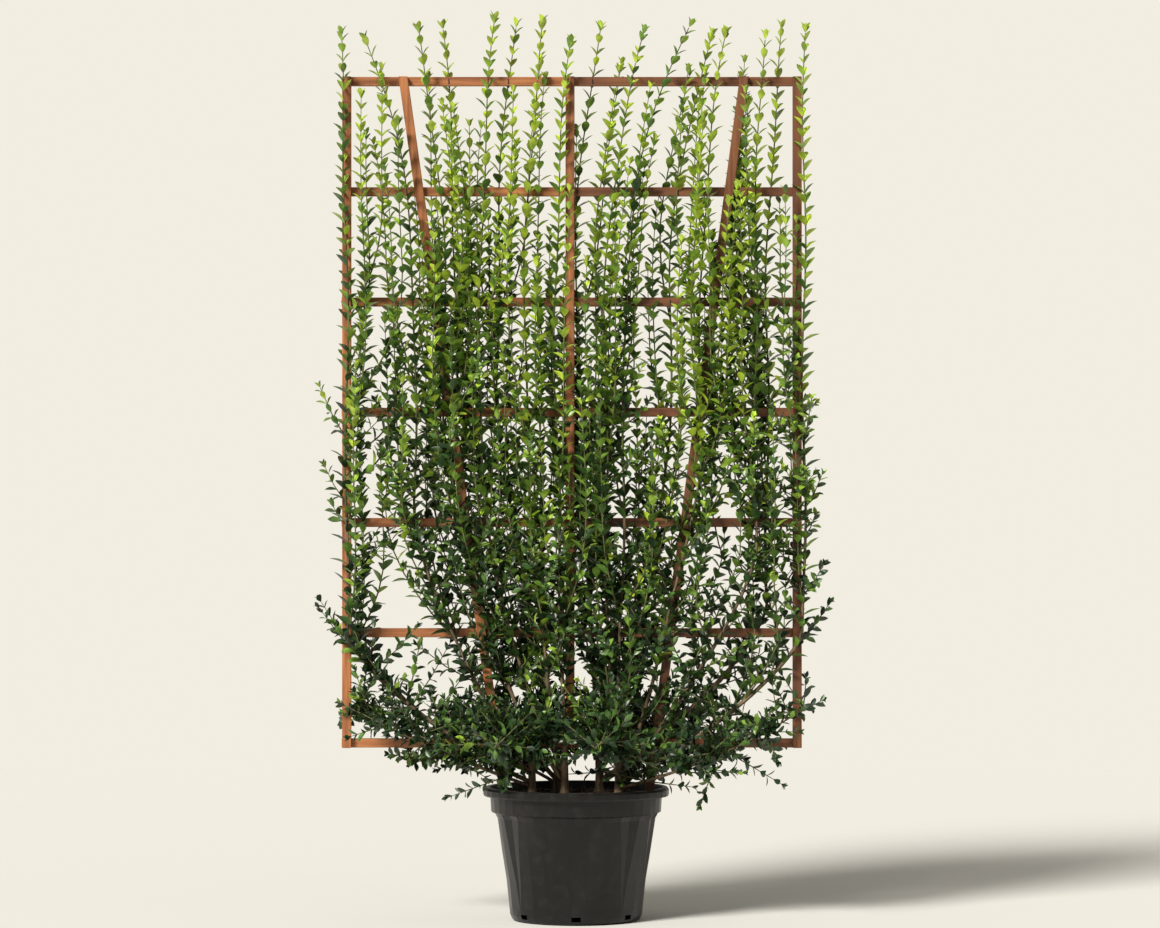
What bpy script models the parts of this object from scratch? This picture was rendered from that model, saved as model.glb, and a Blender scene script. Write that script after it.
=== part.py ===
"""A potted Japanese spindle trained as an espalier.

Sixteen upright canes fan out of five short stems and rise in front of and behind a batten trellis, whose two
slanted legs stand in the potting soil of a ribbed container. Metres, +Z up. The origin is the middle of the
pot's flat underside, the trellis stands in the XZ plane, and its front faces -Y.
"""

import math
import random

import bmesh
import bpy
from mathutils import Matrix, Vector
from mathutils.bvhtree import BVHTree
from mathutils.kdtree import KDTree

# Clearance between pieces that touch on the real plant
GAP = 0.0003

# Container: radius and height of its outside, from the underside up to the rolled lip
POT_FOOT = [(0.1580, 0.0), (0.1675, 0.004), (0.1725, 0.016)]
POT_BODY = [(0.1748, 0.040), (0.1813, 0.103), (0.1944, 0.181), (0.2074, 0.267), (0.2140, 0.279)]
POT_BAND = [(0.2218, 0.283), (0.2240, 0.3232)]
POT_LIP = [(0.2405, 0.3240), (0.2425, 0.3280), (0.2425, 0.3400), (0.2380, 0.3460)]
POT_HEIGHT = 0.346
POT_WALL = 0.003
POT_FLOOR = 0.006
LIP_INNER = 0.2250
FLUTES = 11
FLUTE_TURN = math.radians(10.0)
FLUTE_WIDE = math.radians(9.0)
FLUTE_NARROW = math.radians(1.0)
FLUTE_DEPTH = 0.006
NOTCHES = 7
NOTCH_SIZE = (0.024, 0.030, 0.012)
NOTCH_PLACE = (0.0, -0.1725, 0.016)
SOIL_TOP = 0.325

# Trellis: seven rails at the back, with three uprights and two slanted legs in front of them
TRELLIS_MIDDLE = -0.012
TRELLIS_WIDTH = 1.200
TRELLIS_TOP = 2.198
TRELLIS_BOTTOM = 0.448
BATTEN_THICK = 0.018
BATTEN_WIDE = 0.0235
BATTEN_BEVEL = 0.0012
RAILS = 7
UPRIGHTS = {"left": -0.598, "middle": -0.016, "right": 0.576}
LEGS = {"left": (-0.4514, -0.1870), "right": (0.4383, 0.1890)}
LEG_END = 0.255

# Stems: place on the soil, and the height where each one hands over to its leading cane
STEMS = {
    "front_left": (-0.115, -0.046, 0.462),
    "front_middle": (-0.030, -0.050, 0.458),
    "front_right": (0.110, -0.046, 0.478),
    "back_left": (-0.050, 0.052, 0.458),
    "back_right": (0.060, 0.054, 0.466),
}
STEM_RADIUS = 0.0105
STEM_TIP_RADIUS = 0.0075
STEM_FLARE = 0.0200
FLARE_HEIGHT = 0.022

# Canes from left to right: stem, place across the trellis, place of the tip and its height
CANES = [
    ("front_left", -0.597, -0.616, 2.330),
    ("front_left", -0.420, -0.553, 2.316),
    ("front_left", -0.342, -0.417, 2.342),
    ("back_left", -0.316, -0.352, 2.355),
    ("front_middle", -0.250, -0.206, 2.368),
    ("back_left", -0.206, -0.159, 2.360),
    ("front_middle", -0.133, -0.081, 2.360),
    ("front_middle", -0.055, -0.010, 2.308),
    ("back_right", -0.003, 0.065, 2.352),
    ("front_right", 0.076, 0.188, 2.334),
    ("front_right", 0.128, 0.303, 2.352),
    ("back_right", 0.245, 0.363, 2.334),
    ("front_right", 0.324, 0.397, 2.331),
    ("front_right", 0.467, 0.488, 2.321),
    ("back_right", 0.500, 0.545, 2.355),
    ("front_right", 0.592, 0.595, 2.339),
]
FIRST_FORK = 0.360
FORK_STEP = 0.021
FORK_SPREAD = 0.022
FORK_RISE = 0.030
FAN_POWER = 1.4
FAN_HEIGHT = 1.20
FAN_SHORTENING = 1.68
ARCH_START = 1.55
ARCH_POWER = 2.2
FRONT_DEPTH = -0.034
BACK_DEPTH = 0.040
WANDER = 0.005
CANE_RADIUS = 0.0062
CANE_ENTRY_RADIUS = 0.0048
CANE_TIP_RADIUS = 0.0016
LEAVES_START = 0.640
LEAVES_START_OUTER = 0.720
OUTER_CANE = 0.45

# Low masses round the foot: stem, height on it, the bend of the arc and its end
LOW_MASSES = {
    "low_far_left": ("front_left", 0.350, (-0.36, -0.120, 0.44), (-0.60, -0.05, 0.56)),
    "low_left": ("back_left", 0.350, (-0.25, 0.17, 0.47), (-0.43, 0.10, 0.40)),
    "low_front_left": ("front_left", 0.410, (-0.15, -0.15, 0.50), (-0.21, -0.215, 0.46)),
    "low_front_right": ("front_right", 0.430, (0.08, -0.16, 0.50), (0.05, -0.225, 0.46)),
    "low_far_right": ("front_right", 0.345, (0.36, -0.120, 0.41), (0.59, -0.05, 0.55)),
    "low_right": ("back_right", 0.350, (0.23, 0.17, 0.47), (0.37, 0.10, 0.41)),
    "low_back_left": ("back_left", 0.415, (-0.09, 0.15, 0.50), (-0.17, 0.215, 0.48)),
    "low_back_right": ("back_right", 0.415, (0.10, 0.15, 0.50), (0.15, 0.215, 0.48)),
}
LOW_RADIUS = 0.0050
LOW_TIP_RADIUS = 0.0022

# Shoots and leaves
SIDE_SHOOTS = 1
SHORT_TWIGS = 1
TWIG_RADIUS = 0.0034
TWIG_TIP_RADIUS = 0.0016
LEAF_SPACING = 0.120
LEAF_LOW = 0.115
LEAF_TOP = 0.082
LEAF_HALF_WIDTH = 0.235
LEAF_THICKNESS = 0.022
LEAF_FOLD = 0.30
LEAF_ANGLE = math.radians(48)
GOLDEN_ANGLE = math.radians(137.5)
CROWN_DEPTH = 0.245
CROWN_HALF_WIDTH = 0.690
SPACE_STEP = 0.020
SPACE_MARGIN = 0.0035
LIMB_MARGIN = 0.0020
POT_MARGIN = 0.004

SURFACES = {
    "pot_plastic": ((0.018, 0.017, 0.016), 0.45),
    "potting_soil": ((0.055, 0.034, 0.022), 0.95),
    "hardwood": ((0.330, 0.120, 0.045), 0.60),
    "bark": ((0.170, 0.120, 0.070), 0.80),
    "young_leaf": ((0.300, 0.440, 0.080), 0.40),
    "old_leaf": ((0.060, 0.130, 0.035), 0.35),
}


# Scene and objects


def clear_scene():
    for thing in list(bpy.data.objects):
        bpy.data.objects.remove(thing, do_unlink=True)


def make_surface(name, colour, roughness):
    surface = bpy.data.materials.new(name)
    surface.use_nodes = True
    shader = surface.node_tree.nodes["Principled BSDF"]
    shader.inputs["Base Color"].default_value = (*colour, 1.0)
    shader.inputs["Roughness"].default_value = roughness
    shader.inputs["Metallic"].default_value = 0.0
    return surface


def add_object(name, bm, surface, collection=None):
    """Turns a bmesh into an object whose faces point out."""
    bmesh.ops.recalc_face_normals(bm, faces=bm.faces)
    mesh = bpy.data.meshes.new(name)
    bm.to_mesh(mesh)
    bm.free()
    mesh.materials.append(surface)
    thing = bpy.data.objects.new(name, mesh)
    (collection or bpy.context.scene.collection).objects.link(thing)
    return thing


def cut(thing, cutter):
    cutter.hide_render = True
    cutter.display_type = "WIRE"
    boolean = thing.modifiers.new(cutter.name, "BOOLEAN")
    boolean.operation = "DIFFERENCE"
    boolean.solver = "EXACT"
    boolean.object = cutter


def bake_modifiers(thing):
    graph = bpy.context.evaluated_depsgraph_get()
    baked = bpy.data.meshes.new_from_object(thing.evaluated_get(graph))
    thing.modifiers.clear()
    thing.data = baked


def sweep(bm, path, radii, sides):
    """Adds a closed tapering tube that follows a path."""
    normal = (path[1] - path[0]).orthogonal().normalized()
    rings = []
    for i, (point, radius) in enumerate(zip(path, radii)):
        tangent = (path[min(i + 1, len(path) - 1)] - path[max(i - 1, 0)]).normalized()
        normal = (normal - tangent * normal.dot(tangent)).normalized()
        across = tangent.cross(normal)
        turns = [2 * math.pi * k / sides for k in range(sides)]
        rings.append([bm.verts.new(point + radius * (normal * math.cos(a) + across * math.sin(a))) for a in turns])
    bridge(bm, rings)


def bridge(bm, rings):
    """Joins rings of the same count into one closed skin with a flat cap at each end."""
    count = len(rings[0])
    for low, high in zip(rings, rings[1:]):
        for k in range(count):
            bm.faces.new((low[k], low[(k + 1) % count], high[(k + 1) % count], high[k]))
    bm.faces.new(rings[0])
    bm.faces.new(rings[-1])


def limb(name, path, radii, sides, surface, collection=None):
    bm = bmesh.new()
    sweep(bm, path, radii, sides)
    bmesh.ops.triangulate(bm, faces=bm.faces)
    return add_object(name, bm, surface, collection)


def mix(low, high, share):
    return low + (high - low) * share


# Container and soil


def fluted_ring(bm, radius, height, share=None):
    """One ring of the pot, four points to a flute. Share is how far the flute has opened, None off the flutes."""
    step = 2 * math.pi / FLUTES
    half = step / 4 if share is None else mix(FLUTE_NARROW, FLUTE_WIDE, share)
    depth = FLUTE_DEPTH * (share or 0.0)
    ring = []
    for k in range(FLUTES):
        for offset, sink in ((-half, 0.0), (0.0, depth), (half, 0.0), (step / 2, 0.0)):
            angle = FLUTE_TURN + k * step + offset
            reach = radius - sink
            ring.append(bm.verts.new((reach * math.sin(angle), -reach * math.cos(angle), height)))
    return ring


def flute_share(height):
    return min(1.0, (height - POT_BODY[0][1]) / (POT_BODY[3][1] - POT_BODY[0][1]))


def make_pot(surfaces):
    bm = bmesh.new()
    rings = [fluted_ring(bm, r, z) for r, z in POT_FOOT]
    rings += [fluted_ring(bm, r, z, flute_share(z)) for r, z in POT_BODY]
    rings += [fluted_ring(bm, r, z) for r, z in POT_BAND + POT_LIP]
    rings.append(fluted_ring(bm, LIP_INNER, POT_HEIGHT))
    rings.append(fluted_ring(bm, POT_BAND[0][0] - POT_WALL, POT_BAND[0][1]))
    rings += [fluted_ring(bm, r - POT_WALL, z, flute_share(z)) for r, z in reversed(POT_BODY)]
    rings.append(fluted_ring(bm, POT_FOOT[1][0] - POT_WALL, POT_FLOOR))
    bridge(bm, rings)
    bmesh.ops.triangulate(bm, faces=bm.faces, quad_method="SHORT_EDGE")
    pot = add_object("pot", bm, surfaces["pot_plastic"])

    bm = bmesh.new()
    for k in range(NOTCHES):
        made = bmesh.ops.create_cube(bm, size=1.0)["verts"]
        bmesh.ops.scale(bm, verts=made, vec=NOTCH_SIZE)
        bmesh.ops.translate(bm, verts=made, vec=NOTCH_PLACE)
        turn = Matrix.Rotation(2 * math.pi * k / NOTCHES, 3, "Z")
        bmesh.ops.rotate(bm, verts=made, cent=(0.0, 0.0, 0.0), matrix=turn)
    cut(pot, add_object("drain_notches", bm, surfaces["pot_plastic"]))


def make_soil(surfaces):
    """The pot's filling, 0.3 mm inside its wall, with a slot for each leg of the trellis."""
    inset = POT_WALL + GAP
    rim_share = (SOIL_TOP - POT_BAND[0][1]) / (POT_HEIGHT - POT_BAND[0][1])
    rim_inner = mix(POT_BAND[0][0] - POT_WALL, LIP_INNER, rim_share)
    bm = bmesh.new()
    rings = [fluted_ring(bm, POT_FOOT[1][0] - POT_WALL - 2 * GAP, POT_FLOOR + GAP)]
    rings += [fluted_ring(bm, r - inset, z, flute_share(z)) for r, z in POT_BODY]
    rings.append(fluted_ring(bm, POT_BAND[0][0] - inset, POT_BAND[0][1]))
    rings.append(fluted_ring(bm, rim_inner - GAP, SOIL_TOP))
    bridge(bm, rings)
    bmesh.ops.triangulate(bm, faces=bm.faces, quad_method="SHORT_EDGE")
    soil = add_object("potting_soil", bm, surfaces["potting_soil"])
    for side in LEGS:
        cut(soil, make_leg(f"leg_slot_{side}", side, GAP, surfaces))


# Trellis


def batten(name, low, high, wide, front, back, surface):
    """A square-sawn batten between two heights, given as (x, z), that may slant in the trellis's plane."""
    bm = bmesh.new()
    bmesh.ops.create_cube(bm, size=1.0)
    for v in bm.verts:
        share = v.co.z + 0.5
        v.co.x = mix(low[0], high[0], share) + v.co.x * wide
        v.co.y = front if v.co.y < 0 else back
        v.co.z = mix(low[1], high[1], share)
    return add_object(name, bm, surface)


def soften(thing):
    bevel = thing.modifiers.new("sawn_edges", "BEVEL")
    bevel.width = BATTEN_BEVEL
    bevel.segments = 1


def make_leg(name, side, clearance, surfaces):
    top, at_soil = LEGS[side]
    lean = (top - at_soil) / (TRELLIS_TOP - SOIL_TOP)
    wide = BATTEN_WIDE * math.sqrt(1 + lean * lean) + 2 * clearance
    end = LEG_END - clearance
    low = (at_soil + lean * (end - SOIL_TOP), end)
    front = -BATTEN_THICK - GAP - clearance
    return batten(name, low, (top, TRELLIS_TOP), wide, front, clearance - GAP, surfaces["hardwood"])


def make_trellis(surfaces):
    wood = surfaces["hardwood"]
    pitch = (TRELLIS_TOP - TRELLIS_BOTTOM - BATTEN_WIDE) / (RAILS - 1)
    made = []
    for k in range(RAILS):
        low = TRELLIS_BOTTOM + k * pitch
        ends = (TRELLIS_MIDDLE, low), (TRELLIS_MIDDLE, low + BATTEN_WIDE)
        made.append(batten(f"rail_{k + 1}", *ends, TRELLIS_WIDTH, 0.0, BATTEN_THICK, wood))
    for side, x in UPRIGHTS.items():
        ends = (x, TRELLIS_BOTTOM), (x, TRELLIS_TOP)
        made.append(batten(f"upright_{side}", *ends, BATTEN_WIDE, -BATTEN_THICK - GAP, -GAP, wood))
    for side in LEGS:
        made.append(make_leg(f"leg_{side}", side, 0.0, surfaces))
    for thing in made:
        soften(thing)


# Stems and canes


def stem_path(name):
    x, y, top = STEMS[name]
    heights = [0.0, 0.3 * FLARE_HEIGHT, FLARE_HEIGHT, 0.5 * (top - SOIL_TOP), top - SOIL_TOP - GAP]
    points = [Vector((x, y, SOIL_TOP + GAP + h)) for h in heights]
    radii = [STEM_FLARE, 0.7 * STEM_FLARE, STEM_RADIUS, mix(STEM_RADIUS, STEM_TIP_RADIUS, 0.5), STEM_TIP_RADIUS]
    return points, radii


def fork_heights():
    """Where each cane leaves its stem: the widest swing lowest, and the straightest from the tip."""
    heights = {}
    for name, (x, _, top) in STEMS.items():
        members = [k for k, cane in enumerate(CANES) if cane[0] == name]
        members.sort(key=lambda k: -abs(CANES[k][1] - x))
        for order, k in enumerate(members):
            leads = order == len(members) - 1
            heights[k] = top - CANE_RADIUS if leads else FIRST_FORK + order * FORK_STEP
    return heights


class Cane:
    """The run of one cane, from its stem to its tip, as a function of height."""

    def __init__(self, index, fork):
        self.stem, self.across, self.tip_across, self.tip = CANES[index]
        self.name = f"{index + 1:02d}"
        self.fork = fork
        self.root, self.root_depth, top = STEMS[self.stem]
        self.leads = fork > top - 2 * CANE_RADIUS
        swing = self.across - self.root
        self.side = math.copysign(1.0, swing)
        self.fan = FAN_HEIGHT - FAN_SHORTENING * abs(swing)
        self.depth = FRONT_DEPTH if self.root_depth < 0 else BACK_DEPTH
        self.entry = LEAVES_START_OUTER if abs(self.across) > OUTER_CANE else LEAVES_START
        self.phase = 2.4 * index

    def point(self, z):
        rise = z - self.fork
        spread = 0.0 if self.leads else self.side * FORK_SPREAD
        left = max(0.0, 1.0 - rise / self.fan) ** FAN_POWER
        x = self.across + (self.root + spread - self.across) * left
        x -= spread * math.exp(-rise / FORK_RISE)
        bend = max(0.0, (z - ARCH_START) / (self.tip - ARCH_START))
        x += (self.tip_across - self.across) * bend**ARCH_POWER
        settle = 1.0 - math.exp(-rise / 0.15)
        wave = WANDER * settle * math.sin(9.0 * z + self.phase)
        y = mix(self.root_depth, self.depth, settle) - math.copysign(abs(wave), -self.depth)
        return Vector((x + wave, y, z))

    def radius(self, z):
        if z < self.entry:
            return mix(CANE_RADIUS, CANE_ENTRY_RADIUS, (z - self.fork) / (self.entry - self.fork))
        return mix(CANE_ENTRY_RADIUS, CANE_TIP_RADIUS, (z - self.entry) / (self.tip - self.entry))

    def run(self, low, high, count, joint):
        """Points and radii between two heights. One more point close to the joint squares the end that meets it."""
        heights = [mix(low, high, k / count) for k in range(count + 1)]
        heights.append(mix(joint, 0.5 * (low + high), 0.01))
        heights.sort()
        return [self.point(z) for z in heights], [self.radius(z) for z in heights]


def make_limbs(canes, surfaces):
    """Stems and the bare boughs on them. Returns each bough's and stem's path and radii."""
    runs = []
    cutters = {}
    for name in STEMS:
        points, radii = stem_path(name)
        limb(f"stem_{name}", points, radii, 8, surfaces["bark"])
        wider = [r + GAP for r in radii]
        taller = points[:-1] + [points[-1] + Vector((0.0, 0.0, GAP))]
        cutters[name] = limb(f"stem_cutter_{name}", taller, wider, 8, surfaces["bark"])
        runs.append((points, radii))
    for cane in canes:
        points, radii = cane.run(cane.fork, cane.entry, 6, cane.entry)
        bough = limb(f"bough_{cane.name}", points, radii, 6, surfaces["bark"])
        cut(bough, cutters[cane.stem])
        runs.append((points, radii))
    return runs, cutters


# Spaces and clearances


def arc(start, bend, end, count):
    """A smooth arc through a start, towards a bend and on to an end."""
    shares = [k / count for k in range(count + 1)]
    return [start * (1 - t) ** 2 + bend * 2 * t * (1 - t) + end * t * t for t in shares]


def sample(path):
    points = []
    for a, b in zip(path, path[1:]):
        steps = max(1, round((b - a).length / SPACE_STEP))
        points += [a.lerp(b, k / steps) for k in range(steps)]
    return points + [path[-1]]


class Spaces:
    """Gives each mass the room that is nearer to its own stem than to any other mass's."""

    def __init__(self, spines):
        samples = [(name, p) for name, path in spines.items() for p in sample(path)]
        self.owners = [name for name, _ in samples]
        self.tree = KDTree(len(samples))
        for k, (_, p) in enumerate(samples):
            self.tree.insert(p, k)
        self.tree.balance()

    def holds(self, name, point):
        hits = self.tree.find_n(point, 48)
        own = next((d for _, k, d in hits if self.owners[k] == name), None)
        other = next((d for _, k, d in hits if self.owners[k] != name), math.inf)
        return own is not None and other - own > 2 * SPACE_MARGIN


class Obstacles:
    """Limbs and battens with a little clearance added, and the rule that keeps foliage off the pot."""

    def __init__(self, runs):
        bm = bmesh.new()
        for points, radii in runs:
            sweep(bm, points, [r + LIMB_MARGIN for r in radii], 6)
        for thing in bpy.data.objects:
            if thing.name.startswith(("rail", "upright", "leg_left", "leg_right")):
                made = bm.verts[:]
                bm.from_mesh(thing.data)
                new = [v for v in bm.verts if v not in set(made)]
                middle = sum((v.co for v in new), Vector()) / len(new)
                for v in new:
                    v.co.x += math.copysign(LIMB_MARGIN, v.co.x - middle.x)
                    v.co.y += math.copysign(LIMB_MARGIN, v.co.y - middle.y)
                    v.co.z += math.copysign(LIMB_MARGIN, v.co.z - middle.z)
        self.tree = BVHTree.FromBMesh(bm)
        bm.free()

    def clear_of_pot(self, point):
        away = math.hypot(point.x, point.y)
        above = point.z > POT_HEIGHT + POT_MARGIN
        inside = away < LIP_INNER - 2 * POT_MARGIN and point.z > SOIL_TOP + POT_MARGIN
        outside = away > POT_LIP[1][0] + POT_MARGIN
        return above or inside or outside

    def touched_by(self, points, faces):
        return bool(self.tree.overlap(BVHTree.FromPolygons(points, faces)))


# Foliage

# A folded leaf as root, tip, left edge, right edge, midrib above and midrib below
LEAF_FACES = [(0, 4, 2), (0, 3, 4), (1, 2, 4), (1, 4, 3), (0, 2, 5), (0, 5, 3), (1, 5, 2), (1, 3, 5)]


def leaf_points(root, along, up, length):
    across = along.cross(up)
    half = LEAF_HALF_WIDTH * length
    lift = LEAF_FOLD * half
    middle = root + along * (0.52 * length)
    thick = 0.5 * LEAF_THICKNESS * length
    return [
        root,
        root + along * length - up * (0.05 * length),
        middle - across * half + up * lift,
        middle + across * half + up * lift,
        middle + up * thick,
        middle - up * thick,
    ]


def leaf_length(z, rng):
    share = min(1.0, max(0.0, (z - LEAVES_START) / 0.9))
    return mix(LEAF_LOW, LEAF_TOP, share) * rng.uniform(0.88, 1.10)


class Mass:
    """One mass of foliage: shoots and leaves grown from one stem, each kept only where the mass has room."""

    def __init__(self, name, spine, radii, spaces, obstacles):
        self.name = name
        self.spaces = spaces
        self.obstacles = obstacles
        self.rng = random.Random(name)
        self.shoots = [(spine, radii)]
        self.leaves = []

    def has_room(self, points, faces):
        for p in points:
            outside = abs(p.y) > CROWN_DEPTH or abs(p.x - TRELLIS_MIDDLE) > CROWN_HALF_WIDTH
            if outside or not self.obstacles.clear_of_pot(p) or not self.spaces.holds(self.name, p):
                return False
        return not self.obstacles.touched_by(points, faces)

    def add_shoot(self, path):
        """Keeps a side shoot if it has room all along. Its root is sunk in the shoot that it leaves."""
        count = len(path) - 1
        radii = [mix(TWIG_RADIUS, TWIG_TIP_RADIUS, k / count) for k in range(count + 1)]
        bm = bmesh.new()
        sweep(bm, path, radii, 3)
        bm.verts.index_update()
        points = [v.co.copy() for v in bm.verts]
        faces = [[v.index for v in f.verts] for f in bm.faces]
        bm.free()
        if not self.has_room(points, faces):
            return False
        self.shoots.append((path, radii))
        return True

    def add_leaf(self, root, tangent, turn, angle, length):
        outward = tangent.orthogonal().normalized()
        outward.rotate(Matrix.Rotation(turn, 3, tangent))
        along = (tangent * math.cos(angle) + outward * math.sin(angle)).normalized()
        up = (tangent - along * tangent.dot(along)).normalized() if angle > 0.05 else outward
        points = leaf_points(root, along, up, length)
        between = [(points[a] + points[b]) / 2 for a, b in ((0, 2), (0, 3), (1, 2), (1, 3), (2, 3))]
        roomy = all(self.spaces.holds(self.name, p) for p in between)
        if roomy and self.has_room(points, LEAF_FACES):
            self.leaves.append(points)

    def dress(self, path, first, spacing):
        """Sets leaves in a spiral along a shoot, tries nearby turns where one has no room, and ends it in a leaf."""
        lengths = [(b - a).length for a, b in zip(path, path[1:])]
        reach = sum(lengths)
        turn = self.rng.uniform(0, 2 * math.pi)
        at = first
        while at < reach - 0.4 * spacing:
            left = at
            k = 0
            while left > lengths[k]:
                left -= lengths[k]
                k += 1
            root = path[k].lerp(path[k + 1], left / lengths[k])
            tangent = (path[k + 1] - path[k]).normalized()
            length = leaf_length(root.z, self.rng)
            before = len(self.leaves)
            for nudge in (0.0, 0.7, -0.7, 1.5, -1.5):
                self.add_leaf(root, tangent, turn + nudge, LEAF_ANGLE, length)
                if len(self.leaves) > before:
                    break
            turn += GOLDEN_ANGLE
            at += spacing * self.rng.uniform(0.9, 1.1)
        tangent = (path[-1] - path[-2]).normalized()
        self.add_leaf(path[-1] - tangent * 0.004, tangent, turn, 0.0, 0.7 * leaf_length(path[-1].z, self.rng))


def grow_cane_mass(cane, spaces, obstacles):
    """A cane's leafy part, with side shoots that leave it low down and then rise beside it."""
    spine, radii = cane_spine(cane)
    mass = Mass(f"leaves_{cane.name}", spine, radii, spaces, obstacles)
    rng = mass.rng
    outward = math.copysign(1.0, cane.depth)
    for shoot in range(SIDE_SHOOTS):
        for _ in range(10):
            low = rng.uniform(cane.entry + 0.02, 1.15)
            high = low + rng.uniform(0.28, 0.70)
            sideways = rng.uniform(0.030, 0.075) * (-1) ** (shoot + int(cane.name))
            deeper = outward * rng.uniform(-0.02, 0.09)
            path = []
            for k in range(6):
                t = k / 5
                ease = 1 - (1 - min(1.0, t / 0.5)) ** 2
                path.append(cane.point(mix(low, high, t)) + Vector((sideways, deeper, 0.0)) * ease)
            if mass.add_shoot(path):
                break
    for twig in range(SHORT_TWIGS):
        for _ in range(8):
            low = rng.uniform(cane.entry, 1.05)
            reach = rng.uniform(0.09, 0.15)
            heading = math.pi / 2 * outward + rng.uniform(-1.0, 1.0) + math.pi * (twig % 2)
            step = Vector((math.cos(heading), math.sin(heading), 0.9)) * reach / 2
            start = cane.point(low)
            if mass.add_shoot([start, start + step, start + step * 1.9 + Vector((0.0, 0.0, 0.01))]):
                break
    for path, _ in mass.shoots:
        mass.dress(path, 0.5 * LEAF_SPACING, LEAF_SPACING)
    return mass


def cane_spine(cane):
    low = cane.entry + 1.5 * GAP
    return cane.run(low, cane.tip - 0.6 * LEAF_TOP, 10, low)


def low_spine(name):
    stem, height, bend, end = LOW_MASSES[name]
    x, y, _ = STEMS[stem]
    return arc(Vector((x, y, height)), Vector(bend), Vector(end), 7)


def grow_low_mass(name, spaces, obstacles):
    """A low mass round the foot: twigs leave its arc on all sides and carry the leaves."""
    spine = low_spine(name)
    radii = [mix(LOW_RADIUS, LOW_TIP_RADIUS, k / (len(spine) - 1)) for k in range(len(spine))]
    mass = Mass(name, spine, radii, spaces, obstacles)
    rng = mass.rng
    for k in range(2, len(spine), 2):
        ahead = (spine[k] - spine[k - 1]).normalized()
        for _ in range(12):
            heading = Vector((rng.uniform(-1, 1), rng.uniform(-1, 1), rng.uniform(-0.3, 1.2))).normalized()
            reach = rng.uniform(0.10, 0.19)
            start = spine[k - 1].lerp(spine[k], rng.uniform(0.1, 0.9))
            middle = start + (heading + 0.4 * ahead).normalized() * reach / 2
            if mass.add_shoot([start, middle, middle + heading * reach / 2]):
                break
    for path, _ in mass.shoots:
        mass.dress(path, 0.5 * LEAF_SPACING, 0.72 * LEAF_SPACING)
    return mass


def is_closed(bm):
    return bool(bm.faces) and all(e.is_manifold and e.is_contiguous for e in bm.edges)


def islands(bm):
    """The separate skins of a mesh, largest first."""
    left = set(bm.verts)
    found = []
    while left:
        island = {left.pop()}
        edge = list(island)
        while edge:
            near = [e.other_vert(v) for v in edge for e in v.link_edges]
            edge = [v for v in set(near) if v in left]
            left.difference_update(edge)
            island.update(edge)
        found.append(island)
    return sorted(found, key=len, reverse=True)


def fuse(mass, surface, cutter=None):
    """Joins a mass's shoots and leaves into one closed solid. Loose scraps and sealed hollows are dropped."""
    parts = bpy.data.collections.new(f"{mass.name}_parts")
    bpy.context.scene.collection.children.link(parts)
    for k, (path, radii) in enumerate(mass.shoots[1:]):
        limb(f"{mass.name}_shoot_{k}", path, radii, 3, surface, parts)
    for k, points in enumerate(mass.leaves):
        bm = bmesh.new()
        verts = [bm.verts.new(p) for p in points]
        for face in LEAF_FACES:
            bm.faces.new([verts[i] for i in face])
        add_object(f"{mass.name}_leaf_{k}", bm, surface, parts)
    whole = limb(mass.name, *mass.shoots[0], 3, surface)
    if cutter:
        cut(whole, cutter)
        bake_modifiers(whole)
    stem = whole.data
    for solver in ("EXACT", "MANIFOLD"):
        union = whole.modifiers.new("one_plant", "BOOLEAN")
        union.operation = "UNION"
        union.operand_type = "COLLECTION"
        union.collection = parts
        union.solver = solver
        bake_modifiers(whole)
        bm = bmesh.new()
        bm.from_mesh(whole.data)
        for scrap in islands(bm)[1:]:
            bmesh.ops.delete(bm, geom=list(scrap), context="VERTS")
        bmesh.ops.triangulate(bm, faces=bm.faces)
        closed = is_closed(bm)
        bm.to_mesh(whole.data)
        bm.free()
        if closed:
            break
        whole.data = stem
    for part in list(parts.objects):
        bpy.data.objects.remove(part, do_unlink=True)
    bpy.data.collections.remove(parts)
    return closed


def main():
    clear_scene()
    surfaces = {name: make_surface(name, *look) for name, look in SURFACES.items()}
    make_pot(surfaces)
    make_soil(surfaces)
    make_trellis(surfaces)
    forks = fork_heights()
    canes = [Cane(k, forks[k]) for k in range(len(CANES))]
    runs, cutters = make_limbs(canes, surfaces)
    bpy.context.view_layer.update()
    obstacles = Obstacles(runs)
    spines = {f"leaves_{cane.name}": cane_spine(cane)[0] for cane in canes}
    spines.update({name: low_spine(name) for name in LOW_MASSES})
    spaces = Spaces(spines)
    for cane in canes:
        fuse(grow_cane_mass(cane, spaces, obstacles), surfaces["young_leaf"])
    for name, (stem, *_) in LOW_MASSES.items():
        fuse(grow_low_mass(name, spaces, obstacles), surfaces["old_leaf"], cutters[stem])
    for cutter in cutters.values():
        cutter.hide_render = True
        cutter.display_type = "WIRE"


main()
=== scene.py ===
# %% [markdown]
# # A potted spindle trained as an espalier
# The plant is a flat fan of upright leafy canes, tied to a trellis of battens. The trellis's two slanted legs
# and five short stems stand in a black fluted container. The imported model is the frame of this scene, and
# its container and battens are kept. The plant is grown again in its place. Its canes follow the rule that
# placed the frame's limbs, and it has more and finer shoots, and leaves of true size.

# %% The frame
import math
import random

import bpy
import numpy as np
from mathutils import Matrix, Vector


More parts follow.
